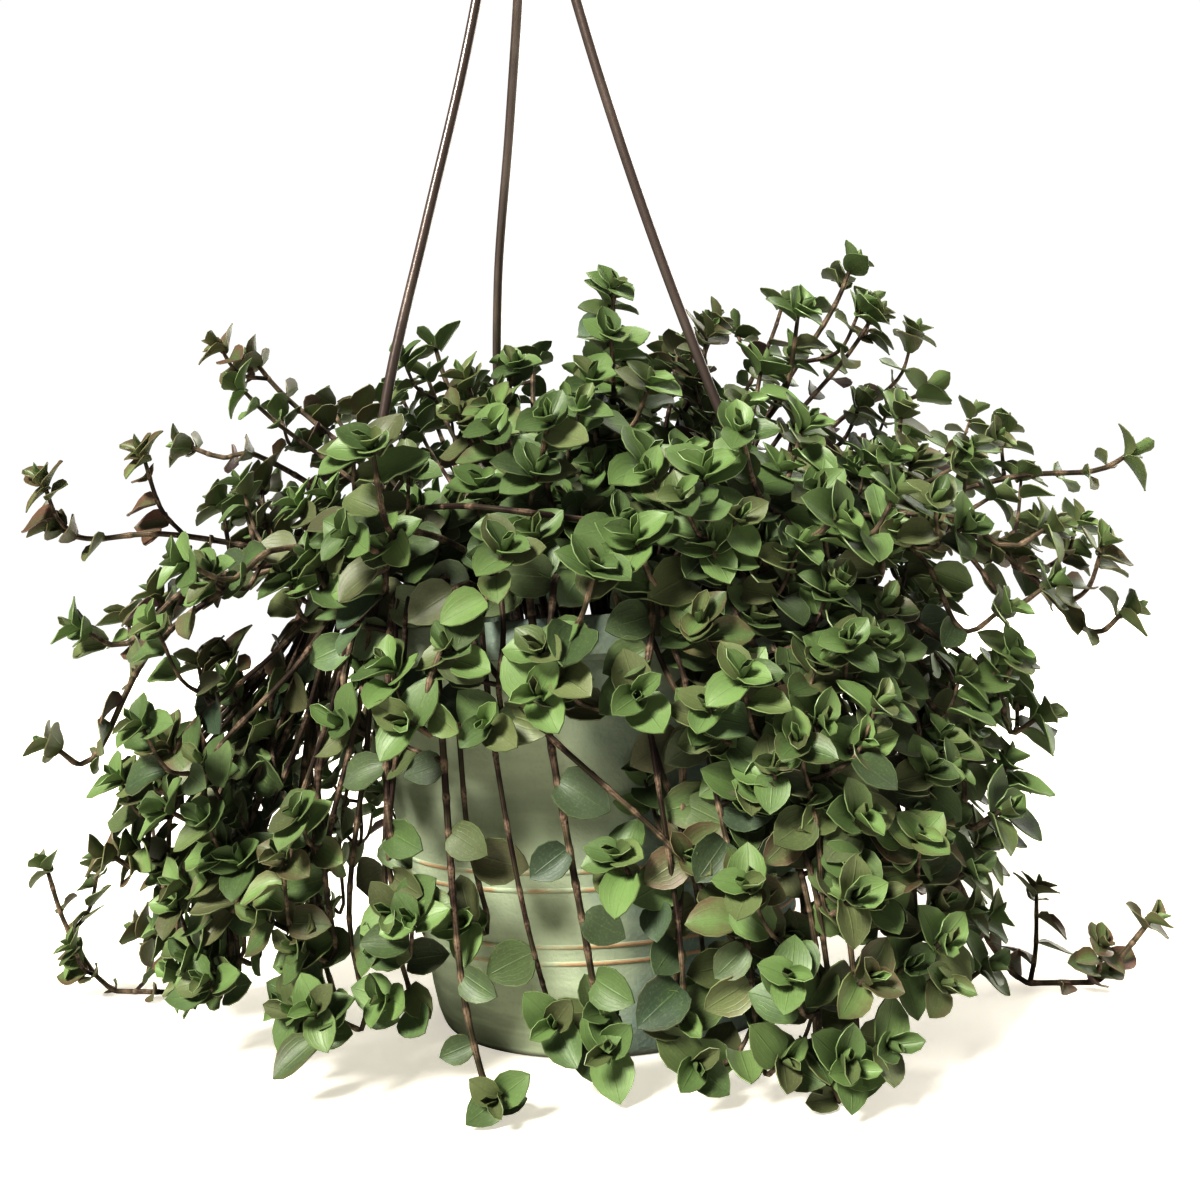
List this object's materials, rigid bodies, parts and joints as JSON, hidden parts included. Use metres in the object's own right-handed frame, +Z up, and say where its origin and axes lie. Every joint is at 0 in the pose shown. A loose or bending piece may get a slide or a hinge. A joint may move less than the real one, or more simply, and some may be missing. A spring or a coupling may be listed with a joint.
{
  "type": "potted turtle vine",
  "caption": "Turtle vine in a round tapered hanging pot that stands on a table, its leafy stems arching over the rim, hanging and running along the surface, with a hanger of rods and a hook.",
  "frame": {"origin": "centre of the pot's flat underside, on the table that the pot stands on", "axes": "+Z up along the pot's axis, -Y the front, +X to the right seen from the front"},
  "size_m": [0.3962, 0.2511, 0.4122],
  "materials": {
    "pot": "matte",
    "soil": "matte",
    "hanger": "gloss",
    "leafy_stem": "satin"
  },
  "bodies": {
    "root": {"pot": "pot", "soil": "soil", "hook": "hanger", "rod_left": "hanger", "rod_right": "hanger", "rod_back": "hanger", "crown_shoot_1": "leafy_stem", "crown_shoot_2": "leafy_stem", "crown_shoot_3": "leafy_stem", "crown_shoot_4": "leafy_stem", "crown_shoot_5": "leafy_stem", "crown_shoot_6": "leafy_stem", "crown_shoot_7": "leafy_stem", "crown_shoot_8": "leafy_stem", "crown_shoot_9": "leafy_stem", "crown_shoot_10": "leafy_stem", "crown_shoot_11": "leafy_stem", "crown_shoot_12": "leafy_stem", "crown_shoot_13": "leafy_stem", "arching_stem_1": "leafy_stem", "arching_stem_2": "leafy_stem", "arching_stem_3": "leafy_stem", "arching_stem_4": "leafy_stem", "arching_stem_5": "leafy_stem", "arching_stem_6": "leafy_stem", "arching_stem_7": "leafy_stem", "arching_stem_8": "leafy_stem", "arching_stem_9": "leafy_stem", "arching_stem_10": "leafy_stem", "arching_stem_11": "leafy_stem", "arching_stem_12": "leafy_stem", "arching_stem_13": "leafy_stem", "arching_stem_14": "leafy_stem", "arching_stem_15": "leafy_stem", "arching_stem_16": "leafy_stem", "spilling_stem_1": "leafy_stem", "spilling_stem_2": "leafy_stem", "spilling_stem_3": "leafy_stem", "spilling_stem_4": "leafy_stem", "spilling_stem_5": "leafy_stem", "spilling_stem_6": "leafy_stem", "spilling_stem_7": "leafy_stem", "spilling_stem_8": "leafy_stem", "spilling_stem_9": "leafy_stem", "spilling_stem_10": "leafy_stem", "spilling_stem_11": "leafy_stem", "spilling_stem_12": "leafy_stem", "spilling_stem_13": "leafy_stem", "spilling_stem_14": "leafy_stem", "spilling_stem_15": "leafy_stem", "spilling_stem_16": "leafy_stem", "spilling_stem_17": "leafy_stem", "spilling_stem_18": "leafy_stem", "spilling_stem_19": "leafy_stem", "spilling_stem_20": "leafy_stem", "spilling_stem_21": "leafy_stem", "running_stem_1": "leafy_stem", "running_stem_2": "leafy_stem", "running_stem_3": "leafy_stem", "running_stem_4": "leafy_stem"}
  },
  "joints": []
}
